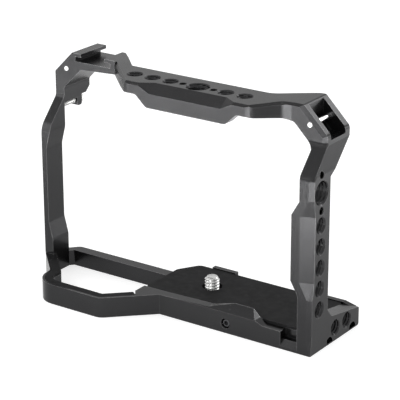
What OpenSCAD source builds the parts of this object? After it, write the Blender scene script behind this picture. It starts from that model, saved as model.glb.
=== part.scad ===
// Camera cage: a machined aluminium frame that closes round a mirrorless camera body,
// with a cold shoe, two strap corners, a column and a row of threaded accessory holes,
// an open loop round the hand grip, and the small loose parts that hold the camera in.
// The frame of reference: +X right seen from the front, +Y to the back, +Z up.
// The origin is the middle of the footprint, on the face that the cage stands on.

/* [Overall] */
// Width across the two outer side faces
cage_w = 143.6; // [140:0.2:152]
// Depth from the front of the grip loop to the back of the foot
cage_d = 56; // [54:0.5:62]
// Height from the standing face to the top face
cage_h = 99.8; // [98:0.2:108]

/* [Top beam] */
// Accessory hole axis to the outer face on the hole side, in percent of the width
side_share = 42.514; // [41:0.002:44]
// Depth of the beam's middle stretch
beam_d = 19.1; // [18:0.1:23]
// Thickness of the beam
beam_t = 4.9; // [4.4:0.1:7]
// Front apron: half width of its lower edge
apron_half_w = 18.8; // [12:0.1:19.5]
// Front apron: height below the top face
apron_h = 9.7; // [8:0.1:12]
// Front apron: thickness
apron_t = 5; // [4:0.1:5]
// Sloped name panel: how far down the front face it starts
panel_drop = 3.7; // [2:0.1:4]
// Sloped name panel: how far back it reaches on the top face
panel_back = 4.6; // [2:0.1:5.4]
// Bevel along the beam's upper front edge
edge_bevel = 1.1; // [0.5:0.1:1.5]
// Hole row: distance behind the front plane
row_y = 9.9; // [9.6:0.1:12]

/* [Accessory holes] */
// Spacing of neighbouring 1/4 inch holes
hole_pitch = 9; // [8.8:0.1:9.4]
// 3/8 inch hole axis to the nearest 1/4 inch hole axis
first_hole = 13.6; // [13.2:0.1:14]
// 3/8 inch hole axis to each locating hole axis
locate_off = 7.5; // [7.2:0.1:7.8]
// 1/4-20 thread, nominal diameter
quarter_d = 6.35; // [6.2:0.05:6.5]
// 3/8-16 thread, nominal diameter
three_eighth_d = 9.525; // [9.3:0.025:9.8]
// Locating hole diameter
locate_d = 3; // [2.5:0.1:3.3]
// Width of the chamfer round each threaded hole
hole_chamfer = 0.4; // [0.3:0.05:0.8]
// Width of the chamfer round each locating hole
locate_chamfer = 0.2; // [0.1:0.05:0.4]
// Number of 1/4 inch holes on the grip side of the top row
row_left = 3; // [1:1:3]
// Number of 1/4 inch holes on the other side of the top row
row_right = 2; // [1:1:2]
// Number of 1/4 inch holes in the side column
column_count = 5; // [2:1:5]
// Side column: 3/8 inch hole axis below the top face
column_drop = 31.8; // [30:0.1:34]
// Side column: distance behind the front plane
column_y = 6.45; // [6:0.05:6.9]

/* [Cold shoe] */
// Grip side outer face to the middle of the shoe
shoe_in = 20.6; // [20.2:0.1:22]
// Width between the slot walls
slot_w = 18.7; // [18.6:0.05:19]
// Width between the two lips
lip_gap = 12.6; // [12.4:0.1:13]
// Height of the slot under the lips
slot_h = 2.1; // [2:0.05:2.4]
// Thickness of the lips
lip_t = 1.5; // [1.2:0.1:2]
// Thickness of the shoe floor
floor_t = 3.4; // [3:0.1:4.5]
// Front end of the shoe behind the front plane
shoe_set = 20.2; // [19:0.1:22]
// Length of the shoe's long rail
shoe_len = 17.8; // [16:0.1:18.3]
// Length of the shoe's short rail
short_rail = 12.8; // [11:0.1:15]
// Wall outside the short rail's slot wall
rail_wall = 3.7; // [3:0.1:4.2]

/* [Strap corners] */
// Front face of the hole side corner behind the front plane
corner_set = 12.9; // [12:0.1:14]
// Depth of the hole side corner
corner_d = 17.9; // [16:0.1:20]
// How far the hole side corner stands in from the leg's outer face
corner_in = 2.3; // [1:0.1:3]
// Joint with the top beam to the hole side corner's outer face
corner_join = 16.25; // [15:0.05:18]
// Size of the 45 degree cut on the hole side corner
corner_cut = 11.1; // [10:0.1:12]
// Size of the 45 degree cut on the grip side corner
grip_cut = 9.5; // [9:0.1:9.8]
// Thickness of the corners, square to the cut
corner_t = 8.1; // [7.8:0.1:8.8]
// Wall between a strap pocket and the inside of its corner
pocket_wall = 1.9; // [1.5:0.1:2.2]
// Front wall of a strap pocket
pocket_front = 3.4; // [2:0.1:4]
// Back wall of a strap pocket
pocket_back = 3.2; // [2:0.1:4]
// Floor of a strap pocket below the top face
pocket_drop = 13.4; // [12.8:0.1:14]
// Strap pin diameter
pin_d = 2.4; // [2:0.1:2.8]
// Strap pin axis below the cut face, square to it
pin_depth = 3; // [2.8:0.1:3.6]
// Strap pin axis below the top face
pin_drop = 7.6; // [7.2:0.1:8]
// Gap between a strap pin and the wall of its bore
pin_fit = 0.02; // [0.01:0.01:0.05]
// Edge bevel on the corners: width on the front face
bevel_w = 1.85; // [1:0.05:2]
// Edge bevel on the corners: depth
bevel_d = 1; // [0.5:0.05:1.2]

/* [Legs] */
// Thickness of the hole side leg
side_t = 6.35; // [6:0.05:7]
// Depth of the hole side leg
side_d = 12.95; // [12.6:0.05:14]
// How far the leg's flange stands in over the camera's front edge
flange_in = 3.5; // [2:0.1:4]
// Depth of the flange
flange_d = 4.5; // [3:0.1:5]
// Wide front bevel beside the flange: width
waist_w = 5.85; // [5:0.05:6]
// Wide front bevel beside the flange: depth
waist_d = 2.1; // [1.5:0.05:2.3]
// Thickness of the grip side leg
grip_t = 4.6; // [4.4:0.1:5.2]
// Front face of the grip side leg behind the front plane
grip_y = 9.4; // [8:0.1:11]
// Depth of the grip side leg
grip_d = 10.9; // [10:0.1:12]
// Thickness of the grip side leg's waist
grip_waist = 2.5; // [2.4:0.1:4]

/* [Base] */
// Thickness of the base plate
base_t = 7.7; // [7.4:0.1:8.4]
// Thickness of the silicone pads under the camera
pad_t = 1.3; // [0.8:0.1:1.4]
// Thickness of the silicone pad on the hole side leg
side_pad_t = 0.8; // [0.5:0.1:1.2]
// Depth of the front sill
sill_d = 4.2; // [4:0.1:5]
// Height of the sill's crest, which the camera's front edge stands against
crest_h = 12.4; // [11.6:0.1:14]
// Height of the sill's front face below the crest
sill_face = 9.2; // [8.8:0.1:10]
// Height of the low stretch of the sill
sill_low = 7.7; // [7.4:0.1:8.6]
// Height of the ledge beside the hole side leg
ledge_h = 4; // [3:0.1:6]
// Front screw hole: distance from the accessory hole axis
sill_hole_x = 20.1; // [17:0.1:24]
// Front screw hole: height above the standing face
sill_hole_z = 4.1; // [3.9:0.1:4.6]
// M4 grub screw in the sill: diameter
grub_d = 4; // [3.5:0.1:4]
// Height of the foot at its back end
foot_back_h = 8.2; // [8:0.1:10]
// Depth of the low lip along the back of the base
lip_d = 2.2; // [1.6:0.1:3]
// Height of that lip
lip_h = 9.4; // [9:0.1:11]
// Height of the foot where it meets the leg
foot_front_h = 12; // [11.6:0.1:14]
// Height of the two foot holes
foot_hole_z = 5.75; // [5.5:0.05:6]

/* [Grip loop] */
// How far the loop reaches in front of the front plane
loop_reach = 17.5; // [14:0.5:19]
// Width of the loop's rails
loop_w = 4.6; // [4:0.1:6]
// Width of the bare rim outside the loop's pad
rim_w = 0.9; // [0.6:0.1:1.5]
// Grip side outer face to the loop's side rail
loop_in = 14.85; // [12:0.05:18]
// Height of the rail behind the battery door
rear_h = 7.2; // [5:0.1:7.4]

/* [Camera screw] */
// Distance of the camera screw behind the front plane
screw_y = 20; // [18:0.5:22]
// Diameter of its head
head_d = 12.4; // [11:0.1:13]
// Thickness of its head
head_t = 3; // [2.5:0.1:3.2]
// Gap between the head and the standing face
head_sink = 0.6; // [0.3:0.1:1]
// Thickness of the nylon washer
washer_t = 0.8; // [0.5:0.1:1]
// Length of stud above the pads
stud_up = 4.6; // [4:0.1:5.2]
// Thread pitch of the 1/4-20 stud
quarter_pitch = 1.27; // [1.2:0.01:1.3]
// Radial gap between the stud and its bore
stud_fit = 0.08; // [0.05:0.01:0.1]

/* [Eyelet screw] */
// Diameter of the M2.5 screw through the camera's strap eyelet
lug_d = 2.5; // [2.3:0.1:2.6]
// Its axis below the top face
lug_drop = 24.7; // [24.6:0.1:25]
// Its head diameter
lug_head_d = 4; // [3.8:0.1:4.2]
// Its head thickness
lug_head_t = 1.6; // [1.2:0.1:2]
// Thickness of the rubber ring under its head
ring_t = 0.7; // [0.5:0.1:1]
// Thread pitch of the M2.5 screw
lug_pitch = 0.45; // [0.4:0.05:0.5]
// Radial gap between the screw and its bores
lug_fit = 0.05; // [0.02:0.01:0.1]

/* [Screwdriver] */
// Shaft diameter of the screwdriver kept under the base
driver_d = 4.4; // [3.8:0.1:4.6]
// Whole length of the screwdriver
driver_len = 42; // [36:1:44]
// Knurled grip diameter
grip_end_d = 4.8; // [4.6:0.1:4.9]
// Knurled grip length
grip_end_len = 11; // [8:0.5:14]
// Gap between the screwdriver and its groove
groove_gap = 0.35; // [0.3:0.05:0.5]
// Diameter of the two magnets above it
magnet_d = 4; // [3:0.1:5]
// Thickness of the magnets
magnet_t = 1.2; // [0.8:0.1:1.3]

/* [Hidden] */

$fn = 48;
// Overshoot of a cutting shape past the face it cuts
over = 1;

anodised = [0.27, 0.27, 0.28];
steel = [0.78, 0.78, 0.77];
black_rubber = [0.05, 0.05, 0.05];
nylon = [0.85, 0.85, 0.82];

// The four planes that the outlines are measured from
x_right = cage_w / 2;
x_left = -cage_w / 2;
y_front = -cage_d / 2 + loop_reach;
y_back = cage_d / 2;
// Depth of the rear face behind the front plane
rear = y_back - y_front;
// Accessory hole axis, which is the lens axis seen from above
x_lens = x_right - cage_w * side_share / 100;

// Cold shoe
shoe_x = x_left + shoe_in;
slot_l = shoe_x - slot_w / 2;
slot_r = shoe_x + slot_w / 2;
shoe_floor = cage_h - lip_t - slot_h;
shoe_end = shoe_set + shoe_len;
// The shoe meets the grip side corner here, and the beam's arm at shoe_right
shoe_left = x_left + grip_cut;
shoe_right = slot_r + rail_wall;

// Corners: an outer cut at 45 degrees and an inner one parallel to it
x_corner = x_right - corner_in;
corner_back = corner_set + corner_d;
join_x = x_corner - corner_join;
// The beam's front edge turns back from elbow_x and straightens again at elbow_end
elbow_x = join_x - 11.7;
elbow_end = join_x - 3.6;
inner_off = corner_t * sqrt(2);
// x + z on the cut faces, and z - x on the grip side
cut_sum = x_corner + cage_h - corner_cut;
cut_diff = cage_h - shoe_left;
pocket_z = cage_h - pocket_drop;
pin_z = cage_h - pin_drop;
side_pin_x = cut_sum - pin_z - pin_depth * sqrt(2);
grip_pin_x = pin_z - cut_diff + pin_depth * sqrt(2);
// Room that a strap needs on the inner side of its pin
strap_room = 1.6;

// Legs
leg_in = x_right - side_t;
grip_in = x_left + grip_t;
leg_top = cage_h - 15.1;
bend_front = cage_h - 24.5;
bend_back = cage_h - 26.8;
beam_z = cage_h - beam_t;
grip_top = cage_h - 19.6;
grip_bend = cage_h - 32.2;
// Lower edge of the wall above the eyelet screw
wall_z = cage_h - 23.1;
grip_back = grip_y + grip_d;
column_z = cage_h - column_drop;
waist_low = 31;
waist_high = 59;
waist_blend = 7;
grip_waist_low = 24;
grip_waist_high = 58;
grip_waist_blend = 8;

// Base
pad_top = base_t + pad_t;
// The loop's pad lies flush in it
loop_h = pad_top;
base_left = x_lens - 24;
sill_left = x_lens - 13.2;
sill_right = leg_in - 7.8;
crest_right = x_lens + 33.4;
crest_left = x_lens + 22.5;
// The notch beside the hole side leg: how far its slope leans back, and its lower edge
notch_set = 1.5;
notch_low = 1.2;
loop_side = x_left + loop_in;
door_back = grip_back + 1.7;
rail_back = door_back + 5;
lip_end = 12;
// Slant of the loop's front corner
loop_slant = 43.4;

// Camera screw
bore_top = head_sink + head_t + washer_t;
stud_r = quarter_d / 2;
stud_bore = stud_r + stud_fit;

// Eyelet screw
lug_x = x_left + grip_t / 2;
lug_z = cage_h - lug_drop;
lug_bore = lug_d / 2 + lug_fit;
// The camera's eyelet stands between the leg and this face of the boss
boss_front = shoe_set + 8.9;
lug_seat = boss_front + 3.2;
boss_low = lug_z - 2.3;
lug_tip = grip_back - 1.9;
// The bore in the leg runs this far beyond the screw's tip
lug_run_out = 0.3;

// Screwdriver
driver_z = grip_end_d / 2 + 0.15;
driver_y = rear - 6.5;
driver_x1 = leg_in - 5.7;
driver_x0 = driver_x1 - driver_len;
groove_w = grip_end_d + 2 * groove_gap;
groove_top = driver_z + grip_end_d / 2 + groove_gap;
magnet_x = [driver_x0 + 9, driver_x1 - grip_end_len - 6];

// Grub screw in the sill
grub_sink = 0.9;
grub_len = 2.4;
grub_fit = 0.03;
tip_t = 0.6;

// Bottom mounting holes
bottom_y = 16;
bottom_three_x = x_lens + 24;
bottom_depth = 5.6;
bottom_quarter_x = [x_lens - 16.5, x_lens + 41];

// ---------- outlines ----------

function unit(v) = v / norm(v);

// One corner of an outline as an arc of radius r, or the corner itself when r is 0
function corner_arc(a, p, b, r) =
    r <= 0 ? [p] :
    let (
        u = unit(a - p),
        v = unit(b - p),
        half = acos(u * v) / 2,
        c = p + unit(u + v) * r / sin(half),
        s = p + u * r / tan(half) - c,
        start = atan2(s.y, s.x),
        turn = (180 - 2 * half) * (cross(u, v) > 0 ? -1 : 1),
        steps = max(2, ceil(abs(turn) / 12))
    )
    [for (i = [0:steps]) c + r * [cos(start + turn * i / steps), sin(start + turn * i / steps)]];

// An outline from corners given as [x, y, radius]
function outline(pts) =
    let (n = len(pts))
    [for (i = [0:n - 1])
        let (
            a = pts[(i + n - 1) % n],
            p = pts[i],
            b = pts[(i + 1) % n]
        )
        each corner_arc([a.x, a.y], [p.x, p.y], [b.x, b.y], p.z)];

// A front view outline (x, z), made solid from depth y0 to y1 behind the front plane
module front_view(y0, y1) {
    translate([0, y_front + y1, 0]) rotate([90, 0, 0]) linear_extrude(y1 - y0) children();
}

// A side view outline (depth, z), made solid from x0 to x1
module side_view(x0, x1) {
    translate([x0, y_front, 0]) rotate([90, 0, 90]) linear_extrude(x1 - x0) children();
}

// A plan outline (x, depth), made solid from z0 to z1
module plan_view(z0, z1) {
    translate([0, y_front, z0]) linear_extrude(z1 - z0) children();
}

// Cuts a bevel w wide on the front face and d deep along an edge that starts at (x, z),
// runs to the right and turns down by angle
module bevel_cut(x, depth, z, angle, length, w, d) {
    translate([x, y_front + depth, z]) rotate([0, angle, 0]) rotate([90, 0, 90])
        linear_extrude(length)
            polygon([[-over, over], [-over, -w - over * w / d], [d + over * d / w, over]]);
}

// ---------- holes ----------

// A hole with a chamfered mouth at the origin, going down
module mouth_hole(d, depth, chamfer) {
    translate([0, 0, -depth]) cylinder(d = d, h = depth + over);
    translate([0, 0, -chamfer]) cylinder(d1 = d, d2 = d + 2 * chamfer, h = chamfer);
    cylinder(d = d + 2 * chamfer, h = over);
}

module quarter_hole(depth) mouth_hole(quarter_d, depth, hole_chamfer);
module three_eighth_hole(depth) mouth_hole(three_eighth_d, depth, hole_chamfer);
module locate_hole(depth) mouth_hole(locate_d, depth, locate_chamfer);

// Turns a hole to open through the outer side face
module on_side(depth, z) {
    translate([x_right, y_front + depth, z]) rotate([0, 90, 0]) children();
}

// ---------- frame: top ----------

module beam_plan() {
    polygon(outline([
        [shoe_right, shoe_set - 1.3, 0],
        [x_lens - 30, 0, 4],
        [elbow_x, 0, 5],
        [elbow_end, corner_set - 1, 4],
        [join_x, corner_set, 0],
        [join_x, corner_back - 1.9, 0],
        [elbow_end + 1, corner_back - 3.8, 6],
        [elbow_x - 1.3, beam_d, 8],
        [x_lens - 39.9, beam_d, 1.5],
        [shoe_right, shoe_set + 8.2, 0]
    ]));
}

module beam_front() {
    polygon([
        [shoe_right, shoe_floor - floor_t + 1.1],
        [x_lens - 38, beam_z - 0.9],
        [x_lens - 29.5, beam_z],
        [elbow_x - 1.3, beam_z],
        [join_x, beam_z - 2.5],
        [join_x, cage_h],
        [shoe_right, cage_h]
    ]);
}

module apron() {
    low = cage_h - apron_h;
    fillet = 2.5;
    front_view(0, apron_t) polygon(outline([
        [x_lens - apron_half_w - 8, beam_z, 0],
        [x_lens - apron_half_w - 5.6, beam_z, fillet],
        [x_lens - apron_half_w - 0.3, low, fillet],
        [x_lens + apron_half_w + 0.9, low, fillet],
        [x_lens + apron_half_w + 6.1, beam_z, fillet],
        [x_lens + apron_half_w + 9, beam_z, 0],
        [x_lens + apron_half_w + 9, beam_z + 1, 0],
        [x_lens - apron_half_w - 8, beam_z + 1, 0]
    ]));
}

// Everything above a plane that passes the panel's lower front edge at x and climbs by
// ramp along X and by the panel's own slope towards the back
module above_plane(x, ramp) {
    slope = panel_drop / panel_back;
    translate([x, y_front, cage_h - panel_drop])
        rotate([0, -atan(norm([ramp, slope])), atan2(slope, ramp)])
            translate([-40, -60, 0]) cube([100, 120, 40]);
}

// The sloped panel along the beam's front edge, with a facet at each end
module panel_cut() {
    ramp = 0.5;
    half = apron_half_w - 1.3;
    intersection() {
        above_plane(x_lens - half, 0);
        above_plane(x_lens - half, -ramp);
        above_plane(x_lens + half, ramp);
    }
}

// Bevels the upper edge between two points of the plan, a to the left of b, and runs on
// by before and after, which is less at an inner corner
module top_bevel(a, b, before = over, after = over) {
    run = b - a;
    w = edge_bevel;
    translate([a.x, y_front + a.y, cage_h]) rotate([0, 0, atan2(run.y, run.x)])
        translate([-before, 0, 0]) rotate([90, 0, 90])
            linear_extrude(norm(run) + before + after)
                polygon([[-over, over], [-over, -w - over], [w + over, over]]);
}

module top_beam() {
    inner_run = 0.4;
    color(anodised) difference() {
        union() {
            intersection() {
                plan_view(beam_z - 4, cage_h) beam_plan();
                front_view(-over, corner_back + over) beam_front();
            }
            apron();
        }
        panel_cut();
        top_bevel([shoe_right, shoe_set - 1.3], [x_lens - 30, 0]);
        top_bevel([x_lens - 30, 0], [elbow_x, 0]);
        top_bevel([elbow_x, 0], [elbow_end, corner_set - 1], after = inner_run);
        top_bevel([elbow_end, corner_set - 1], [join_x, corner_set], before = inner_run);
        translate([x_lens, y_front + row_y, cage_h]) {
            three_eighth_hole(beam_t + over);
            for (s = [-1, 1]) translate([s * locate_off, 0, 0]) locate_hole(beam_t - 1);
            for (i = [0:row_left - 1])
                translate([-first_hole - i * hole_pitch, 0, 0]) quarter_hole(beam_t + 2 * over);
            for (i = [0:row_right - 1])
                translate([first_hole + i * hole_pitch, 0, 0]) quarter_hole(beam_t + 2 * over);
        }
    }
}

module cold_shoe() {
    under = cut_diff - inner_off;
    color(anodised) difference() {
        union() {
            // Floor and the gusset below its grip side end
            intersection() {
                front_view(0, rear) polygon([
                    [shoe_left, shoe_left + under],
                    [shoe_floor - floor_t - under, shoe_floor - floor_t],
                    [shoe_right, shoe_floor - floor_t + 1.1],
                    [shoe_right, shoe_floor],
                    [shoe_left, shoe_floor]
                ]);
                plan_view(0, cage_h) polygon([
                    [shoe_left, shoe_set],
                    [shoe_right - 1.3, shoe_set],
                    [shoe_right, shoe_set - 1.3],
                    [shoe_right, shoe_set + 8.2],
                    [shoe_right - 4.9, shoe_set + short_rail + 0.2],
                    [shoe_right - 10, shoe_end],
                    [shoe_left, shoe_end]
                ]);
            }
            // Long rail
            front_view(shoe_set, shoe_end) polygon([
                [shoe_left, shoe_floor],
                [slot_l, shoe_floor],
                [slot_l, shoe_floor + slot_h],
                [shoe_x - lip_gap / 2, shoe_floor + slot_h],
                [shoe_x - lip_gap / 2, cage_h],
                [shoe_left, cage_h]
            ]);
            // Short rail, cut off along the beam's arm
            intersection() {
                front_view(0, rear) polygon([
                    [slot_r, shoe_floor],
                    [shoe_right, shoe_floor],
                    [shoe_right, cage_h],
                    [shoe_x + lip_gap / 2, cage_h],
                    [shoe_x + lip_gap / 2, shoe_floor + slot_h],
                    [slot_r, shoe_floor + slot_h]
                ]);
                plan_view(0, cage_h) polygon([
                    [shoe_x, shoe_set],
                    [shoe_right - 1.3, shoe_set],
                    [shoe_right, shoe_set - 1.3],
                    [shoe_right, shoe_set + 8.2],
                    [shoe_right - 4.9, shoe_set + short_rail],
                    [shoe_x, shoe_set + short_rail]
                ]);
            }
        }
    }
}

// ---------- frame: corners ----------

module grip_corner() {
    inner = cut_diff - inner_off;
    depth0 = shoe_set + pocket_front;
    depth1 = shoe_end - pocket_back;
    wall = inner + pocket_wall * sqrt(2);
    stop = grip_pin_x + pin_d / 2 + strap_room;
    color(anodised) difference() {
        front_view(shoe_set, shoe_end) polygon(outline([
            [x_left, grip_top, 0],
            [x_left, x_left + cut_diff, 1.2],
            [shoe_left, cage_h, 0],
            [shoe_left, shoe_left + inner, 0],
            [grip_in, grip_in + inner, 1.5],
            [grip_in, grip_top, 0]
        ]));
        front_view(depth0, depth1) polygon([
            [stop, cage_h + over],
            [stop, stop + wall],
            [pocket_z - wall, pocket_z],
            [x_left - over, pocket_z],
            [x_left - over, cage_h + over]
        ]);
        pin_bore(grip_pin_x, shoe_set, shoe_end);
    }
}

module strap_corner() {
    inner = cut_sum - inner_off;
    depth0 = corner_set + pocket_front;
    depth1 = corner_back - pocket_back;
    wall = inner + pocket_wall * sqrt(2);
    stop = side_pin_x - pin_d / 2 - strap_room;
    color(anodised) difference() {
        intersection() {
            front_view(corner_set, corner_back) polygon(outline([
                [join_x, beam_z - 2.5, 0],
                [inner - beam_z + 2.6, beam_z - 2.6, 2.5],
                [inner - leg_top, leg_top, 0],
                [x_corner, leg_top, 0],
                [x_corner, cut_sum - x_corner, 3],
                [cut_sum - cage_h, cage_h, 1.2],
                [join_x, cage_h, 0]
            ]));
            plan_view(0, cage_h) polygon(outline([
                [join_x, corner_set, 0],
                [x_corner, corner_set, 0],
                [x_corner, corner_back, 0],
                [join_x + 2.9, corner_back, 3],
                [join_x, corner_back - 1.9, 0]
            ]));
        }
        front_view(depth0, depth1) polygon([
            [stop, cage_h + over],
            [stop, wall - stop],
            [wall - pocket_z, pocket_z],
            [x_corner + over, pocket_z],
            [x_corner + over, cage_h + over]
        ]);
        top_bevel([join_x, corner_set], [cut_sum - cage_h, corner_set], after = 0);
        bevel_cut(cut_sum - cage_h - over, corner_set, cage_h + over, 45, 30, bevel_w, bevel_d);
        bevel_cut(x_corner, corner_set, cage_h, 90, 30, bevel_w, bevel_d);
        pin_bore(side_pin_x, corner_set, corner_back);
    }
}

// The bore of a strap pin, through both walls of its pocket
module pin_bore(x, depth0, depth1) {
    translate([x, y_front + depth1 + over, pin_z]) rotate([90, 0, 0])
        cylinder(d = pin_d + 2 * pin_fit, h = depth1 - depth0 + 2 * over);
}

module strap_pin(x, depth0, depth1) {
    nose = 0.25;
    color(steel) translate([x, y_front + depth1, pin_z]) rotate([90, 0, 0]) {
        translate([0, 0, nose]) cylinder(d = pin_d, h = depth1 - depth0 - 2 * nose);
        cylinder(d1 = pin_d - 2 * nose, d2 = pin_d, h = nose);
        translate([0, 0, depth1 - depth0 - nose]) cylinder(d1 = pin_d, d2 = pin_d - 2 * nose, h = nose);
    }
}

module grip_strap_pin() strap_pin(grip_pin_x, shoe_set, shoe_end);
module side_strap_pin() strap_pin(side_pin_x, corner_set, corner_back);

// ---------- frame: legs ----------

module grip_leg() {
    waist_x = x_left + grip_waist;
    color(anodised) difference() {
        intersection() {
            side_view(x_left, grip_in) polygon(outline([
                [grip_y, loop_h, 0],
                [grip_y, grip_bend, 8],
                [shoe_set, grip_top - 0.8, 3],
                [shoe_set, grip_top, 0],
                [shoe_end, grip_top, 0],
                [shoe_end - 2.7, grip_top - 2.6, 1],
                [lug_seat, grip_top - 2.6, 0],
                [lug_seat, boss_low, 1],
                [boss_front, boss_low, 1],
                [boss_front, wall_z, 0.5],
                [grip_back, wall_z, 0.5],
                [grip_back, loop_h, 0]
            ]));
            // The waist is thinned from the inside
            front_view(0, rear) polygon(outline([
                [x_left, loop_h, 0],
                [grip_in, loop_h, 0],
                [grip_in, grip_waist_low - grip_waist_blend, 6],
                [waist_x, grip_waist_low, 6],
                [waist_x, grip_waist_high, 6],
                [grip_in, grip_waist_high + grip_waist_blend, 6],
                [grip_in, grip_top, 0],
                [x_left, grip_top, 0]
            ]));
        }
        lug_axis(lug_tip - lug_run_out)
            cylinder(r = lug_bore, h = lug_seat - lug_tip + lug_run_out + over);
    }
}

// A section of the leg in plan:
// s = [z, inner shift, outer shift, front depth, back depth, bevel width, bevel depth]
module leg_section(s) {
    polygon([
        [leg_in - s[1], s[3]],
        [x_right - s[2] - s[5], s[3]],
        [x_right - s[2], s[3] + s[6]],
        [x_right - s[2], s[4]],
        [leg_in - s[1], s[4]]
    ]);
}

// A stretch of the leg between two sections: straight, or blended when they differ
module leg_stretch(a, b) {
    skin = 0.001;
    if ([for (k = [1:6]) a[k]] == [for (k = [1:6]) b[k]]) {
        plan_view(a[0], b[0]) leg_section(a);
    } else {
        hull() {
            plan_view(a[0], a[0] + skin) leg_section(a);
            plan_view(b[0] - skin, b[0]) leg_section(b);
        }
    }
}

module side_leg() {
    w = 2.05;
    d = 1;
    slope = (corner_back - side_d) / (leg_top - bend_back);
    inner_lean = leg_in - (cut_sum - inner_off - leg_top);
    turn_z = leg_top - 1.7;
    part = (turn_z - bend_front) / (leg_top - bend_front);
    // The bevel runs out towards the lower edge
    toe = 0.2;
    toe_h = 6.5;
    stations = [
        [0, 0, 0, 0, side_d, w * toe, d * toe],
        [toe_h, 0, 0, 0, side_d, w, d],
        [waist_low - waist_blend, 0, 0, 0, side_d, w, d],
        [waist_low, 0, 0, 0, side_d, waist_w, waist_d],
        [waist_high, 0, 0, 0, side_d, waist_w, waist_d],
        [waist_high + waist_blend, 0, 0, 0, side_d, w, d],
        [bend_back, 0, 0, 0, side_d, w, d],
        [bend_front, 0, 0, 0, side_d + slope * (bend_front - bend_back), w, d],
        [turn_z, inner_lean / 2.2, corner_in * part, corner_set * part,
            corner_back - slope * (leg_top - turn_z), bevel_w, bevel_d],
        [leg_top, inner_lean, corner_in, corner_set, corner_back, bevel_w, bevel_d]
    ];
    color(anodised) difference() {
        union() {
            for (i = [0:len(stations) - 2]) leg_stretch(stations[i], stations[i + 1]);
            // Flange over the camera's front edge
            front_view(0, flange_d) polygon([
                [leg_in, waist_low - 6],
                [leg_in - flange_in, waist_low],
                [leg_in - flange_in, waist_high],
                [leg_in, waist_high + 6]
            ]);
        }
        on_side(column_y, column_z) three_eighth_hole(side_t + over);
        for (s = [-1, 1]) on_side(column_y, column_z + s * locate_off) locate_hole(side_t - 1.5);
        for (i = [0:column_count - 1])
            on_side(column_y, column_z - first_hole - i * hole_pitch) quarter_hole(side_t + over);
    }
}

module side_foot() {
    recess_d = 5.4;
    recess_z = 0.5;
    recess_off = 9.2;
    recess_deep = 3;
    recess_floor = 0.45;
    mid = side_d + 11.1;
    color(anodised) difference() {
        union() {
            side_view(leg_in, x_right) polygon(outline([
                [side_d, 0, 0],
                [rear, 0, 1],
                [rear, foot_back_h, 1],
                [side_d + 3.4, foot_front_h, 3],
                [side_d, foot_front_h + 4, 0]
            ]));
            // End of the rear lip, running out towards the side face
            front_view(rear - lip_d, rear) polygon([
                [leg_in, foot_back_h - 1.2],
                [x_right - 1.2, foot_back_h - 1.2],
                [x_right - 1.2, foot_back_h],
                [leg_in, lip_h]
            ]);
        }
        for (s = [-1, 1]) on_side(mid + s * hole_pitch / 2, foot_hole_z) quarter_hole(side_t + over);
        // Two locating recesses, flat along the lower edge
        intersection() {
            for (s = [-1, 1]) on_side(mid + s * recess_off, recess_z)
                translate([0, 0, -recess_deep]) cylinder(d = recess_d, h = recess_deep + over);
            side_view(leg_in, x_right + 2 * over) polygon([
                [side_d, recess_floor], [rear, recess_floor],
                [rear, foot_front_h], [side_d, foot_front_h]
            ]);
        }
    }
}

// ---------- frame: base ----------

module front_sill() {
    color(anodised) difference() {
        front_view(0, sill_d) polygon(outline([
            [sill_left, 0, 0],
            [leg_in, 0, 0],
            [leg_in, ledge_h, 0],
            [sill_right, ledge_h, 0],
            [sill_right, sill_low, 0.8],
            [crest_right + 4.6, sill_low, 5],
            [crest_right + 1, sill_face + 0.2, 2],
            [crest_right - 2, crest_h, 1],
            [crest_left, crest_h, 2],
            [crest_left - 11, sill_face + 0.4, 2],
            [sill_left, loop_h, 0]
        ]));
        // Slope from the front face up to the crest
        side_view(sill_left - over, leg_in + over) polygon([
            [-over, sill_face - over * (crest_h - sill_face) / sill_d],
            [-over, crest_h + over],
            [sill_d, crest_h + over],
            [sill_d, crest_h]
        ]);
        // Slope up to the notch beside the hole side leg
        side_view(sill_right, leg_in + over) polygon([
            [-over, notch_low - over * (ledge_h - notch_low) / notch_set],
            [-over, ledge_h + over],
            [notch_set, ledge_h + over],
            [notch_set, ledge_h]
        ]);
        translate([x_lens + sill_hole_x, y_front, sill_hole_z]) rotate([90, 0, 0])
            mouth_hole(grub_d, sill_d, 0.3);
    }
}

// Plan outline of the loop's outer edge, drawn in by o
function loop_edge(o) =
    let (
        slant_x = sill_left - o / sin(loop_slant),
        front = -loop_reach + o,
        side = loop_side + o
    )
    [
        [slant_x + front / tan(loop_slant), front, max(5 - o, 1)],
        [side, front, max(10.3 - o, 1)],
        [side, grip_y - loop_in + o * 0.42, max(4 - o, 1)],
        [x_left + o, grip_y + o * 0.42, max(2 - o, 0.5)]
    ];

function turned(list) = [for (i = [len(list) - 1:-1:0]) list[i]];

module grip_loop() {
    slant_in = sill_left - loop_w / sin(loop_slant);
    color(anodised) difference() {
        plan_view(0, loop_h) polygon(outline(concat(
            [[sill_left, sill_d, 0], [sill_left, 0, 0]],
            loop_edge(0),
            [[x_left, grip_back, 0], [grip_in, grip_back, 0]],
            turned(loop_edge(loop_w)),
            [
                [base_left, (base_left - slant_in) * tan(loop_slant), 0],
                [base_left, sill_d, 0]
            ]
        )));
        // Ledge that the loop's pad lies on
        plan_view(base_t, loop_h + over) loop_pad_plan(0.05);
    }
}

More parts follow.
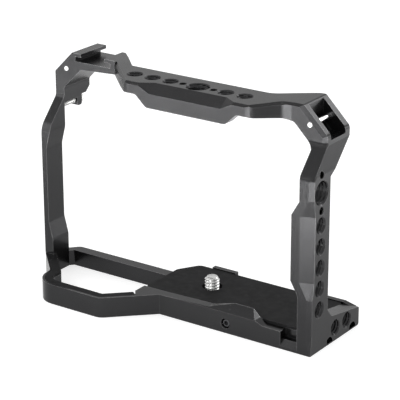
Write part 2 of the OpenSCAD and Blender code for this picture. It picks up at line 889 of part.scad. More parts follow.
module loop_pad_plan(room) {
    slant_out = sill_left - (rim_w - room) / sin(loop_slant);
    slant_in = sill_left - (loop_w + over) / sin(loop_slant);
    inner = room > 0 ? loop_w + over : loop_w;
    slant = room > 0 ? slant_in : sill_left - loop_w / sin(loop_slant);
    end_y = grip_y - 1;
    polygon(outline(concat(
        [[base_left + 3 + room, slant_y(base_left + 3 + room, slant_out), 0]],
        [for (i = [0:2]) loop_edge(rim_w - room)[i]],
        [[x_left + 7, slant_end(7, rim_w - room), 0], [x_left + 10, slant_end(10, inner), 0]],
        [for (i = [2:-1:0]) loop_edge(inner)[i]],
        [[base_left + room, slant_y(base_left + room, slant), 0]]
    )));
}

// Depth on the loop's slanted front corner at a given x
function slant_y(x, foot) = (x - foot) * tan(loop_slant);
// Depth on the loop's slanted side rail, dx in from the outer side face and o inside its edge
function slant_end(dx, o) = grip_y - dx + o * 1.42;

module loop_pad() {
    color(black_rubber) plan_view(base_t, pad_top) loop_pad_plan(0);
}

module rear_rail() {
    color(anodised) plan_view(0, rear_h) polygon(outline([
        [x_left, grip_back, 0],
        [grip_in, grip_back, 0],
        [grip_in + 1.5, door_back, 1],
        [base_left, door_back, 0],
        [base_left, rail_back, 0],
        [x_left + 6, rail_back, 3]
    ]));
}

module base_plate() {
    color(anodised) difference() {
        union() {
            plan_view(0, base_t) polygon(outline([
                [base_left, sill_d, 0],
                [leg_in, sill_d, 0],
                [leg_in, rear, 0],
                [base_left + 8, rear, 3],
                [base_left, rail_back, 3]
            ]));
            // Low lip behind the camera, open in the middle for its screen
            for (x = [leg_in - lip_end, base_left + 13])
                front_view(rear - lip_d, rear) polygon([
                    [x, base_t - over],
                    [x + lip_end, base_t - over],
                    [x + lip_end, lip_h],
                    [x + (x > x_lens ? 1.5 : 0), lip_h],
                    [x, lip_h - 1.5]
                ]);
        }
        // Camera screw: counterbore below, running bore above
        translate([x_lens, y_front + screw_y, 0]) {
            translate([0, 0, -over]) cylinder(d = head_d + 1, h = bore_top + over);
            cylinder(r = stud_bore, h = base_t + over);
        }
        // Screwdriver groove with a finger scoop at the grip's end
        translate([driver_x0 - groove_gap, y_front + driver_y - groove_w / 2, -over])
            cube([driver_len + 2 * groove_gap, groove_w, groove_top + over]);
        translate([driver_x1 - grip_end_len / 2, y_front + driver_y, -over])
            cylinder(d = 10.5, h = driver_z + over);
        for (x = magnet_x) translate([x, y_front + driver_y, groove_top - over])
            cylinder(d = magnet_d + 0.04, h = magnet_t + over);
        // Mounting holes in the standing face
        bottom_hole(bottom_three_x) three_eighth_hole(bottom_depth);
        for (s = [-1, 1]) bottom_hole(bottom_three_x + s * locate_off) locate_hole(bottom_depth - 2);
        for (x = bottom_quarter_x) bottom_hole(x) quarter_hole(bottom_depth);
    }
}

module bottom_hole(x) {
    translate([x, y_front + bottom_y, 0]) rotate([180, 0, 0]) children();
}

// ---------- pads ----------

module base_pad() {
    rim = 1;
    color(black_rubber) difference() {
        plan_view(base_t, pad_top) polygon(outline([
            [base_left + rim, sill_d, 1],
            [leg_in, sill_d, 0],
            [leg_in, rear - lip_d - 0.3, 2],
            [base_left + 6.8, rear - lip_d - 0.3, 3],
            [base_left + rim, rail_back - 0.4, 3]
        ]));
        translate([x_lens, y_front + screw_y, 0]) cylinder(r = stud_r + 1.2, h = cage_h);
    }
}

// A strip behind the column of holes
module side_pad() {
    front = column_y + quarter_d / 2 + 0.3;
    back = side_d - 0.5;
    color(black_rubber) side_view(leg_in - side_pad_t, leg_in) polygon(outline([
        [front, waist_low, 0.8],
        [back, waist_low, 0.8],
        [back, waist_high, 0.8],
        [front, waist_high, 0.8]
    ]));
}

// ---------- camera screw ----------

// A threaded stud drawn as rings: crest radius r, height h
module threaded_stud(r, h, pitch) {
    root = r - 0.6 * pitch;
    turns = floor(h / pitch) - 1;
    rotate_extrude() polygon(concat(
        [[0, 0], [r, 0]],
        [for (i = [0:turns - 1]) each [
            [r, (i + 0.12) * pitch],
            [root, (i + 0.5) * pitch],
            [r, (i + 0.88) * pitch]
        ]],
        [[r, h - 0.6], [r - 0.6, h], [0, h]]
    ));
}

module camera_screw() {
    slot = 1.6;
    stud_len = pad_top + stud_up - head_sink - head_t;
    color(steel) translate([x_lens, y_front + screw_y, head_sink]) difference() {
        union() {
            cylinder(d1 = head_d - 0.8, d2 = head_d, h = 0.4);
            translate([0, 0, 0.4]) cylinder(d = head_d, h = head_t - 0.4);
            translate([0, 0, head_t]) threaded_stud(stud_r, stud_len, quarter_pitch);
        }
        // Coin slot and hex socket in the head
        translate([-head_d, -slot / 2, -over]) cube([2 * head_d, slot, over + 1.2]);
        translate([0, 0, -over]) cylinder(d = 4.6, h = over + 2.4, $fn = 6);
    }
}

module screw_washer() {
    color(nylon) translate([x_lens, y_front + screw_y, head_sink + head_t]) difference() {
        cylinder(d = head_d - 1, h = washer_t);
        translate([0, 0, -over]) cylinder(r = stud_bore, h = washer_t + 2 * over);
    }
}

// ---------- eyelet screw ----------

// Puts a shape that runs along +Z on the eyelet screw's axis, starting at this depth
module lug_axis(depth) {
    translate([lug_x, y_front + depth, lug_z]) rotate([-90, 0, 0]) children();
}

module eyelet_screw() {
    root = lug_d / 2 - 0.6 * lug_pitch;
    length = lug_seat + ring_t - lug_tip;
    turns = floor((boss_front - lug_tip) / lug_pitch);
    slot = 0.7;
    slot_deep = 0.8;
    color(steel) lug_axis(lug_tip) difference() {
        union() {
            rotate_extrude() polygon(concat(
                [[0, 0], [root, 0]],
                [for (i = [0:turns - 1]) each [
                    [lug_d / 2, (i + 0.5) * lug_pitch],
                    [root, (i + 1) * lug_pitch]
                ]],
                [[lug_d / 2, turns * lug_pitch + 0.3], [lug_d / 2, length], [0, length]]
            ));
            translate([0, 0, length]) cylinder(d = lug_head_d, h = lug_head_t);
        }
        translate([-lug_head_d, -slot / 2, length + lug_head_t - slot_deep])
            cube([2 * lug_head_d, slot, slot_deep + over]);
    }
}

module eyelet_ring() {
    color(black_rubber) lug_axis(lug_seat) difference() {
        cylinder(d = lug_head_d - 0.3, h = ring_t);
        translate([0, 0, -over]) cylinder(r = lug_bore, h = ring_t + 2 * over);
    }
}

// ---------- screwdriver ----------

module driver_axis(x) {
    translate([x, y_front + driver_y, driver_z]) rotate([0, 90, 0]) children();
}

module driver_shaft() {
    tip_len = 7;
    tip_t = 1.3;
    neck = 2.6;
    color(steel) difference() {
        union() {
            driver_axis(driver_x0) cylinder(d1 = driver_d - 0.6, d2 = driver_d, h = 0.4);
            driver_axis(driver_x0 + 0.4) cylinder(d = driver_d, h = driver_len - grip_end_len - 0.4);
            driver_axis(driver_x1 - grip_end_len) cylinder(d = neck, h = grip_end_len - 1);
        }
        // Two flats make the blade
        for (s = [-1, 1]) driver_axis(driver_x0 + tip_len) translate([0, s * (tip_t / 2 + 2), 0])
            rotate([s * -4, 0, 0]) translate([-3, -2, -tip_len - 1]) cube([6, 4, tip_len + 1]);
    }
}

module driver_grip() {
    rings = 6;
    step = grip_end_len / (rings + 1);
    color(anodised) driver_axis(driver_x1 - grip_end_len) rotate_extrude() polygon(concat(
        [[1.32, 0], [grip_end_d / 2 - 0.3, 0]],
        [for (i = [0:rings - 1]) each [
            [grip_end_d / 2, step * (i + 0.35)],
            [grip_end_d / 2, step * (i + 0.75)],
            [grip_end_d / 2 - 0.25, step * (i + 0.85)],
            [grip_end_d / 2 - 0.25, step * (i + 1.2)]
        ]],
        [[grip_end_d / 2, step * (rings + 0.4)], [grip_end_d / 2, grip_end_len - 0.4],
         [grip_end_d / 2 - 0.4, grip_end_len], [0, grip_end_len], [0, grip_end_len - 0.9],
         [1.32, grip_end_len - 0.9]]
    ));
}

module driver_magnets() {
    color(steel) for (x = magnet_x) translate([x, y_front + driver_y, groove_top])
        cylinder(d = magnet_d, h = magnet_t);
}

// ---------- grub screw ----------

module grub_axis(depth) {
    translate([x_lens + sill_hole_x, y_front + depth, sill_hole_z]) rotate([-90, 0, 0]) children();
}

module sill_grub_screw() {
    r = grub_d / 2 - grub_fit;
    chamfer = 0.3;
    color(steel) grub_axis(grub_sink) difference() {
        union() {
            cylinder(r1 = r - chamfer, r2 = r, h = chamfer);
            translate([0, 0, chamfer]) cylinder(r = r, h = grub_len - chamfer);
        }
        translate([0, 0, -over]) cylinder(d = 2.3, h = over + 1.4, $fn = 6);
    }
}

module sill_grub_tip() {
    color(nylon) grub_axis(grub_sink + grub_len) cylinder(d = grub_d - 1.4, h = tip_t);
}

top_beam();
cold_shoe();
grip_corner();
grip_leg();
strap_corner();
side_leg();
side_foot();
front_sill();
base_plate();
grip_loop();
rear_rail();
grip_strap_pin();
side_strap_pin();
camera_screw();
screw_washer();
eyelet_screw();
eyelet_ring();
base_pad();
loop_pad();
side_pad();
driver_shaft();
driver_grip();
driver_magnets();
sill_grub_screw();
sill_grub_tip();
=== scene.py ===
import math

import bmesh
import bpy
from mathutils import Matrix, Vector


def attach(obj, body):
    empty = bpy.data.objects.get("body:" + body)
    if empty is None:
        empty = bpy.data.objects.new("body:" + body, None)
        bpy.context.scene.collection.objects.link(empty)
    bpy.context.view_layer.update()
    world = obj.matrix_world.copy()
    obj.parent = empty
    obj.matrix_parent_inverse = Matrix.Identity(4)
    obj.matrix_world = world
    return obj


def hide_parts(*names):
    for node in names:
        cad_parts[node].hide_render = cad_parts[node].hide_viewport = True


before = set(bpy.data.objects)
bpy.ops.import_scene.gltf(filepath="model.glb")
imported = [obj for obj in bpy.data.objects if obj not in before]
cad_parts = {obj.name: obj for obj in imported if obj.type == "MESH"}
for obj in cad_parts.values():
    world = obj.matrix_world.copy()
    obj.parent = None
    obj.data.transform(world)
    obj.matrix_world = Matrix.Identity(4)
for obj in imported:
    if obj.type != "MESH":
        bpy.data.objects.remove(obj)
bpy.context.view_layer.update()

MM = 0.001

# ---------- sizes and places, in mm ----------

# The members that are one machined piece in the real cage
FRAME_NODES = (
    "top_beam", "cold_shoe", "grip_corner", "grip_leg", "strap_corner", "side_leg",
    "side_foot", "front_sill", "base_plate", "grip_loop", "rear_rail",
)

# Threads: outer diameter, inner diameter and pitch
QUARTER = (6.35, 5.25, 1.27)
THREE_EIGHTH = (9.525, 8.05, 1.5875)
GRUB = (3.9, 3.3, 0.7)
EYELET = (2.5, 1.95, 0.45)

# Values of the part's source: the top, the side leg's outer face, the front plane that only
# the loop reaches past, the lens axis, and how thick the top beam and the side leg are
TOP_Z = 99.8
SIDE_X = 71.8
FRONT_Y = -10.5
LENS_X = 10.75
BEAM_T = 4.9
SIDE_T = 6.35

# Threaded holes. The top beam has a 3/8 inch hole at the lens axis, the side leg has one at
# COLUMN_TOP, and the 1/4 inch holes start FIRST_HOLE away from them.
HOLE_PITCH = 9.0
FIRST_HOLE = 13.6
ROW_Y = -0.6
ROW_LEFT = 3
ROW_RIGHT = 2
COLUMN_Y = -4.05
COLUMN_TOP = 68.0
COLUMN_COUNT = 5
FOOT_HOLES_Y = (9.05, 18.05)
FOOT_HOLE_Z = 5.75
BASE_ROW_Y = 5.5
BASE_BIG_X = 34.75
BASE_SMALL_X = (-5.75, 51.75)
# Heights between which the threads under the base run
BASE_THREAD = (0.5, 5.5)
# How far the other threads stay from a hole's mouth, and from the leg's inner face
MOUTH_GAP = 0.45
INNER_GAP = 0.1

# Where the screws lie: the underside of the camera screw's head, the tip of the eyelet screw
# and the outer end of the set screw in the sill
CAMERA_SCREW = (LENS_X, 9.5, 0.6)
EYELET_SCREW = (-69.5, 7.9, 75.1)
SILL_SCREW = (30.85, -9.6, 4.1)

# The side leg lies right of LEG_X. Its bends, at the knee and the corner: height, and y in
# front of which they are rounded
LEG_X = 60
LEG_BENDS = ((75.3, -9), (84.7, 4))
# Heights at which the wide bevel at its front changes width, and y in front of which it lies
LEG_FACETS = (24.0, 31.0, 59.0, 66.0)
FACET_Y = -8
# Strap pockets: side, outer face, |x| + z of the slanted face, front and back
POCKETS = ((1, 69.5, 158.2, 5.8, 17.1), (-1, 71.8, 162.1, 13.1, 24.3))
# They lie above this height and further than this from the middle
POCKET_Z = 84.7
POCKET_X = 40

# Bevel widths: along the frame's edges, at the strap pockets and at the side leg's bends
FRAME_EDGE = 0.22
POCKET_EDGE = 0.55
BEND_EDGE = 1.4
# The edge attributes that pick out the last two
POCKET_WEIGHT = "bevel_weight_edge"
BEND_WEIGHT = "bend_weight"
# Two lengths that differ by less than this are the same
NEAR = 0.03

# ---------- view and light ----------

# The photograph's view: azimuth, elevation and roll in degrees, focal length and width in
# pixels, and how far right, down and away of the camera VIEW_DATUM lies. Those three lengths
# come from a fit with holes FIT_PITCH apart.
VIEW_ANGLES = (34.8798, 20.5991, -0.1432)
FOCAL_PX = 1804.831
PICTURE_PX = 400.0
SENSOR_MM = 36.0
VIEW_DATUM = (LENS_X, FRONT_Y, 0)
DATUM_SEEN = (-6.53536, 53.24126, 791.19358)
FIT_PITCH = 9.45

# The floor, in metres: half its width, and how far it lies under the part
FLOOR_HALF = 3.0
FLOOR_DROP = 0.00005
# Strength of its glow, over its lit colour, for the rays that seen_white picks
FLOOR_WHITE = 0.68
# Strength of the even light from all around
WORLD_LIGHT = 0.55
# Soft lamps: name, place, what it faces and size in metres, power in watts, and spread in
# degrees. The pools hang low over the floor and light it, so that the metal's upright faces
# show it brighter away from the object. They aim a hair off straight down, which settles how
# they are turned.
LAMPS = (
    ("soft_front", (0.08, -1.09, 0.11), (0, 0, 0.05), (0.3, 0.18), 2.0, 180),
    ("soft_above", (0.05, -1.0, 0.62), (0, 0, 0.05), (0.5, 0.4), 2.2, 180),
    ("soft_left", (-0.8, -0.55, 0.35), (0, 0, 0.05), (0.75, 0.7), 3.4, 180),
    ("soft_side", (0.42, 0.92, 0.69), (0, 0, 0.05), (0.35, 0.35), 1.8, 180),
    ("soft_right", (0.75, 0.90, 0.16), (0, 0, 0.06), (0.4, 0.26), 0.9, 180),
    ("pool_front", (0.10, -0.27, 0.36), (0.10, -0.2701, 0), (0.18, 0.15), 2.8, 58),
    ("pool_left", (-0.20, -0.28, 0.36), (-0.20, -0.2801, 0), (0.15, 0.15), 0.9, 54),
    ("pool_right", (0.27, 0.27, 0.36), (0.27, 0.2701, 0), (0.15, 0.15), 0.8, 74),
)


# ---------- mesh helpers ----------

def smooth(mesh, angle):
    """Shades a mesh smooth but for edges sharper than an angle in degrees."""
    for face in mesh.polygons:
        face.use_smooth = True
    mesh.set_sharp_from_angle(angle=math.radians(angle))


def new_object(name, bm, smooth_angle=30):
    """A scene object from a bmesh in metres, smooth below an angle."""
    mesh = bpy.data.meshes.new(name)
    bm.to_mesh(mesh)
    bm.free()
    smooth(mesh, smooth_angle)
    obj = bpy.data.objects.new(name, mesh)
    bpy.context.scene.collection.objects.link(obj)
    return obj


def combined(obj, others, operation):
    """The mesh of an object after a boolean with others, which it removes."""
    for other in others:
        mod = obj.modifiers.new("combine", "BOOLEAN")
        mod.operation = operation
        mod.solver = "EXACT"
        mod.object = other
    graph = bpy.context.evaluated_depsgraph_get()
    mesh = bpy.data.meshes.new_from_object(obj.evaluated_get(graph))
    for other in others:
        bpy.data.objects.remove(other)
    return mesh


def joined_solids(name, nodes):
    """One solid from several CAD nodes that meet face to face."""
    copies = []
    for node in nodes:
        copy = bpy.data.objects.new(name + "_" + node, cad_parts[node].data.copy())
        bpy.context.scene.collection.objects.link(copy)
        copies.append(copy)
    bm = bmesh.new()
    bm.from_mesh(combined(copies[0], copies[1:], "UNION"))
    bpy.data.objects.remove(copies[0])
    weld = 0.004 * MM
    bmesh.ops.remove_doubles(bm, verts=bm.verts, dist=weld)
    flat = math.radians(1.0)
    bmesh.ops.dissolve_limit(bm, angle_limit=flat, verts=bm.verts, edges=bm.edges)
    return new_object(name, bm, 12)


def cut_away(obj, cutters):
    """Cuts closed shapes out of an object."""
    mesh = combined(obj, cutters, "DIFFERENCE")
    obj.modifiers.clear()
    obj.data = mesh
    smooth(mesh, 30)


def add_bevel(obj, width, angle):
    """Rounds the edges that are sharper than an angle in degrees."""
    mod = obj.modifiers.new("edge_bevel", "BEVEL")
    mod.width = width * MM
    mod.segments = 2
    mod.limit_method = "ANGLE"
    mod.angle_limit = math.radians(angle)
    mod.harden_normals = True
    return mod


def add_weighted_bevel(obj, width, segments, weight):
    """Rounds the edges that carry a weight."""
    mod = obj.modifiers.new("edge_bevel", "BEVEL")
    mod.width = width * MM
    mod.segments = segments
    mod.limit_method = "WEIGHT"
    mod.edge_weight = weight
    return mod


def placed(x, y, z, axis):
    """The local frame whose Z axis points along axis, at a point in mm."""
    turn = Vector((0, 0, 1)).rotation_difference(Vector(axis)).to_matrix().to_4x4()
    return Matrix.Translation(Vector((x, y, z)) * MM) @ turn


def ring_vert(bm, place, radius, z, k, around):
    """Vertex k of a ring round the local Z axis."""
    a = 2 * math.pi * k / around
    return bm.verts.new(
        place @ Vector((radius * MM * math.cos(a), radius * MM * math.sin(a), z * MM)))


def join_rings(bm, low, high, inward=False):
    """Faces between two rings, of which one may be a single vertex on the axis."""
    around = max(len(low), len(high))
    for k in range(around):
        corners = []
        for ring, i in ((low, k), (low, k + 1), (high, k + 1), (high, k)):
            vert = ring[i % len(ring)]
            if vert not in corners:
                corners.append(vert)
        bm.faces.new(corners[::-1] if inward else corners)


def thread_surface(bm, place, outer, inner, pitch, length, inward, turn=0.0):
    """A helical thread as a grid round the local Z axis, from z = 0 to z = length.

    inward is True for a tapped hole. Both ends run out to the wall, or to the root of a
    stud."""
    around = 40
    per_pitch = 8
    steps = max(4, round(length / pitch * per_pitch))
    fade = 0.35 * pitch
    # A ridge rises to peak, falls at this slope to both sides and is cut off at 1 and 0
    peak, slope = 1.25, 2.9
    wall = outer / 2 if inward else inner / 2
    height = (inner - outer) / 2 if inward else (outer - inner) / 2
    rows = []
    for i in range(steps + 1):
        z = length * i / steps
        depth = min(1, z / fade, (length - z) / fade)
        row = []
        for k in range(around):
            phase = (z / pitch - k / around + turn) % 1.0
            ridge = min(1.0, max(0.0, peak - abs(phase - 0.5) * slope))
            row.append(ring_vert(bm, place, wall + height * ridge * depth, z, k, around))
        rows.append(row)
    for low, high in zip(rows, rows[1:]):
        join_rings(bm, low, high, inward)
    return rows


def stud(bm, place, outer, inner, pitch, length, tip):
    """A closed threaded rod from z = 0 to z = length, tapered over its tip."""
    rows = thread_surface(bm, place, outer, inner, pitch, length - tip, False)
    around = len(rows[0])
    taper = 0.6
    radius = inner / 2 - taper * tip
    end = [ring_vert(bm, place, radius, length, k, around) for k in range(around)]
    join_rings(bm, rows[-1], end)
    bm.faces.new(end)
    bm.faces.new(rows[0][::-1])


def revolve(bm, place, profile, around, knurl):
    """A closed solid of revolution round the local Z axis from (radius, z) points, which
    start and end on the axis. The knurl cuts its widest part into ridges this deep."""
    widest = max(r for r, z in profile)
    rings = []
    for r, z in profile:
        if r == 0:
            rings.append([bm.verts.new(place @ Vector((0, 0, z * MM)))])
            continue
        groove = r - knurl if r == widest else r
        rings.append([
            ring_vert(bm, place, groove if k % 2 else r, z, k, around) for k in range(around)])
    for low, high in zip(rings, rings[1:]):
        join_rings(bm, low, high)


def block(place, x, y, z):
    """A box between pairs of coordinates, in a local frame."""
    bm = bmesh.new()
    bmesh.ops.create_cube(bm, size=1)
    for v in bm.verts:
        v.co = place @ Vector([
            ((a + b) / 2 + (b - a) * c) * MM for (a, b), c in zip((x, y, z), v.co)])
    return new_object("cutter", bm)


def hexagon(place, across, z0, z1):
    """A six-sided prism round the local Z axis, this wide across its corners."""
    bm = bmesh.new()
    radius = across / 2 * MM
    bmesh.ops.create_cone(bm, cap_ends=True, segments=6, radius1=radius, radius2=radius,
                          depth=(z1 - z0) * MM)
    middle = Matrix.Translation((0, 0, (z0 + z1) / 2 * MM))
    bmesh.ops.transform(bm, matrix=place @ middle, verts=bm.verts)
    return new_object("cutter", bm)


# ---------- materials ----------

def scaled(colour, share):
    """A colour this many times as bright, up to white."""
    return tuple(min(1, c * share) for c in colour)


class Nodes:
    """Short calls for building one material's node tree, with lengths in mm."""

    def __init__(self, name):
        self.mat = bpy.data.materials.new(name)
        self.mat.use_nodes = True
        self.tree = self.mat.node_tree
        self.tree.nodes.clear()
        self.out = self.add("ShaderNodeOutputMaterial")
        self.shader = self.add("ShaderNodeBsdfPrincipled")
        self.link(self.shader.outputs["BSDF"], self.out.inputs["Surface"])
        self.coord = self.add("ShaderNodeTexCoord").outputs["Object"]

    def add(self, kind, **settings):
        node = self.tree.nodes.new(kind)
        for key, value in settings.items():
            setattr(node, key, value)
        return node

    def link(self, a, b):
        self.tree.links.new(a, b)

    def noise(self, size, detail=3.0, roughness=0.55, stretch=(1, 1, 1)):
        """Noise with features about this large."""
        node = self.add("ShaderNodeTexNoise")
        node.inputs["Scale"].default_value = 1.0
        node.inputs["Detail"].default_value = detail
        node.inputs["Roughness"].default_value = roughness
        scale = self.add("ShaderNodeMapping")
        scale.inputs["Scale"].default_value = [k / (size * MM) for k in stretch]
        self.link(self.coord, scale.inputs["Vector"])
        self.link(scale.outputs["Vector"], node.inputs["Vector"])
        return node.outputs["Fac"]

    def ramp(self, value, low, high, out_low=0.0, out_high=1.0):
        """Maps low to high onto out_low to out_high, and stays within those."""
        node = self.add("ShaderNodeMapRange", clamp=True)
        node.inputs["From Min"].default_value = low
        node.inputs["From Max"].default_value = high
        node.inputs["To Min"].default_value = out_low
        node.inputs["To Max"].default_value = out_high
        self.link(value, node.inputs["Value"])
        return node.outputs["Result"]

    def product(self, a, b):
        """A socket times a number or another socket."""
        node = self.add("ShaderNodeMath", operation="MULTIPLY")
        self.link(a, node.inputs[0])
        if isinstance(b, (int, float)):
            node.inputs[1].default_value = b
        else:
            self.link(b, node.inputs[1])
        return node.outputs["Value"]

    def mix(self, factor, a, b):
        """A colour between two colours, each a triple or a socket."""
        node = self.add("ShaderNodeMix", data_type="RGBA")
        self.link(factor, node.inputs["Factor"])
        inputs = {s.identifier: s for s in node.inputs}
        for socket, value in ((inputs["A_Color"], a), (inputs["B_Color"], b)):
            if isinstance(value, tuple):
                socket.default_value = (*value, 1.0)
            else:
                self.link(value, socket)
        return [s for s in node.outputs if s.identifier == "Result_Color"][0]

    def edge(self, radius):
        """1 along sharp edges and 0 elsewhere."""
        bevel = self.add("ShaderNodeBevel", samples=6)
        bevel.inputs["Radius"].default_value = radius * MM
        plain = self.add("ShaderNodeNewGeometry")
        dot = self.add("ShaderNodeVectorMath", operation="DOT_PRODUCT")
        self.link(bevel.outputs["Normal"], dot.inputs[0])
        self.link(plain.outputs["Normal"], dot.inputs[1])
        starts, full = 0.98, 0.7
        return self.ramp(dot.outputs["Value"], starts, full)

    def bump(self, height, distance, strength):
        """A normal from heights between 0 and 1."""
        node = self.add("ShaderNodeBump")
        node.inputs["Distance"].default_value = distance * MM
        node.inputs["Strength"].default_value = strength
        self.link(height, node.inputs["Height"])
        return node.outputs["Normal"]

    def set(self, **values):
        """Sets or links sockets of the shader, by name with _ for a space."""
        for key, value in values.items():
            socket = self.shader.inputs[key.replace("_", " ")]
            if isinstance(value, bpy.types.NodeSocket):
                self.link(value, socket)
            elif isinstance(value, tuple):
                socket.default_value = (*value, 1.0)
            else:
                socket.default_value = value
        return self.mat


def anodised(name, dark, light, rubbed_edge_and_highlight, rough=(0.21, 0.27), tint=0.8):
    """Black anodised aluminium, bead blasted: fine grain, faint clouds, and paler edges, which
    are partly wear and partly a painted highlight along the edges.
    """
    n = Nodes(name)
    clouds = n.ramp(n.noise(18, 3), 0.3, 0.7)
    fine = n.noise(0.16, 2, 0.6)
    # The pale edge colour is partly wear and partly a painted highlight: the bright lines along
    # the chamfers and edges.
    rub_and_highlight_mask = n.product(n.edge(0.35), n.ramp(n.noise(2.2, 5, 0.65), 0.35, 0.62, 0.45, 0.9))
    body = n.mix(clouds, dark, light)
    speck = n.mix(n.ramp(fine, 0.42, 0.66, 0.0, 0.06), body, scaled(light, 1.5))
    colour = n.mix(rub_and_highlight_mask, speck, rubbed_edge_and_highlight)
    roughness = n.ramp(n.noise(12, 3), 0.3, 0.7, *rough)
    normal = n.bump(fine, 0.004, 0.3)
    return n.set(Base_Color=colour, Metallic=0.85, Roughness=roughness, Normal=normal,
                 Specular_Tint=(tint, tint, tint))


def turned_steel(name, tone, rough, fineness, axis="Y"):
    """Turned steel: faint rings across its axis, this fine, and smudges."""
    n = Nodes(name)
    stretch = {"Y": (0.02, 1, 0.02), "Z": (0.02, 0.02, 1)}[axis]
    rings = n.noise(fineness, 2, 0.5, stretch)
    smudge = n.ramp(n.noise(2.5, 5, 0.6), 0.35, 0.7)
    colour = n.mix(smudge, tone, scaled(tone, 0.82))
    colour = n.mix(n.product(n.edge(0.15), 0.6), colour, scaled(tone, 1.15))
    roughness = n.ramp(smudge, 0, 1, *rough)
    normal = n.bump(rings, 0.003, 0.5)
    return n.set(Base_Color=colour, Metallic=1.0, Roughness=roughness, Normal=normal)


def silicone(name):
    """Matt moulded silicone: fine texture, patches of dust, edges paler from wear."""
    n = Nodes(name)
    dust = n.ramp(n.noise(6, 6, 0.7), 0.5, 0.75)
    fine = n.noise(0.22, 2, 0.5)
    colour = n.mix(dust, (0.009, 0.009, 0.0095), (0.018, 0.018, 0.019))
    colour = n.mix(n.product(n.edge(0.3), 0.5), colour, (0.05, 0.05, 0.05))
    roughness = n.ramp(n.noise(3, 4), 0.3, 0.7, 0.62, 0.78)
    normal = n.bump(fine, 0.02, 0.6)
    return n.set(Base_Color=colour, Roughness=roughness, Normal=normal, Specular_IOR_Level=0.12)


def nylon(name):
    """Moulded nylon, off-white and uneven."""
    n = Nodes(name)
    clouds = n.ramp(n.noise(3, 4), 0.3, 0.7)
    colour = n.mix(clouds, (0.80, 0.79, 0.74), (0.70, 0.69, 0.63))
    colour = n.mix(n.product(n.edge(0.2), 0.6), colour, (0.86, 0.86, 0.82))
    roughness = n.ramp(n.noise(1.2, 3), 0.3, 0.7, 0.38, 0.52)
    normal = n.bump(n.noise(0.3, 3), 0.01, 0.5)
    return n.set(Base_Color=colour, Roughness=roughness, Normal=normal)


MATERIALS = {
    # The third colour of each anodised finish is its pale edge colour: partly wear, partly a
    # painted highlight along the edges.
    "anodised": anodised(
        "anodised_frame", (0.031, 0.031, 0.032), (0.035, 0.035, 0.036), (0.32, 0.32, 0.323)),
    "thread": anodised(
        "anodised_thread", (0.026, 0.026, 0.027), (0.034, 0.034, 0.035), (0.36, 0.36, 0.363),
        rough=(0.14, 0.22), tint=0.5),
    "driver_aluminium": anodised(
        "anodised_driver", (0.03, 0.03, 0.031), (0.045, 0.045, 0.046), (0.2, 0.2, 0.203)),
    "pin_steel": turned_steel("polished_pin", (0.86, 0.86, 0.85), (0.10, 0.2), 0.15),
    "screw_steel": turned_steel("turned_screw", (0.66, 0.66, 0.65), (0.2, 0.34), 0.12),
    "black_steel": turned_steel("blackened_screw", (0.10, 0.10, 0.105), (0.28, 0.42), 0.12),
    "stud_steel": turned_steel("turned_stud", (0.62, 0.62, 0.61), (0.2, 0.34), 0.12, "Z"),
    "nickel": turned_steel("nickel_plate", (0.72, 0.70, 0.66), (0.14, 0.28), 0.4, "Z"),
    "silicone": silicone("moulded_silicone"),
    "nylon": nylon("moulded_nylon"),
}


def paint(obj, material):
    """Gives every slot of an object one material."""
    if not obj.material_slots:
        obj.data.materials.append(MATERIALS[material])
    for s in obj.material_slots:
        s.link = "OBJECT"
        s.material = MATERIALS[material]


# ---------- the frame ----------

def close(a, b):
    return abs(a - b) < NEAR


def on_pocket(a, b, side, outer, slant, front, back):
    """Whether an edge lies on a strap pocket's mouth or its upright back corner."""
    for v in (a, b):
        if v.z < POCKET_Z - NEAR or v.x * side < POCKET_X:
            return False
        if not front - NEAR < v.y < back + NEAR:
            return False
    mouth = all(
        close(v.x * side + v.z, slant) or close(v.z, TOP_Z) or close(v.x * side, outer)
        for v in (a, b))
    upright = close(a.y, back) and close(b.y, back) and close(a.x, b.x)
    return mouth or upright


def weigh_edges(mesh):
    """Marks edges for the wider bevels, and keeps the side leg's shallow facets crisp."""
    names = (POCKET_WEIGHT, BEND_WEIGHT)
    for name in names:
        mesh.attributes.new(name, "FLOAT", "EDGE")
    # Adding an attribute can move those before it, so they are looked up once all exist
    pockets, bends = (mesh.attributes[name] for name in names)
    for edge in mesh.edges:
        a, b = (mesh.vertices[i].co / MM for i in edge.vertices)
        if min(a.x, b.x) > LEG_X and close(a.z, b.z):
            front = max(a.y, b.y)
            if any(close(a.z, z) and front < y for z, y in LEG_BENDS):
                bends.data[edge.index].value = 1.0
            if any(close(a.z, z) and front < FACET_Y for z in LEG_FACETS):
                edge.use_edge_sharp = True
        if any(on_pocket(a, b, *pocket) for pocket in POCKETS):
            pockets.data[edge.index].value = 1.0


def make_cage():
    cage = joined_solids("cage_frame", FRAME_NODES)
    paint(cage, "anodised")
    weigh_edges(cage.data)
    bends = add_weighted_bevel(cage, BEND_EDGE, 5, BEND_WEIGHT)
    bends.use_clamp_overlap = False
    add_weighted_bevel(cage, POCKET_EDGE, 3, POCKET_WEIGHT)
    edges = add_bevel(cage, FRAME_EDGE, 20)
    edges.harden_normals = False
    flat = cage.modifiers.new("flat_faces", "WEIGHTED_NORMAL")
    flat.keep_sharp = True
    flat.weight = 100
    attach(cage, "frame")
    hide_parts(*FRAME_NODES)


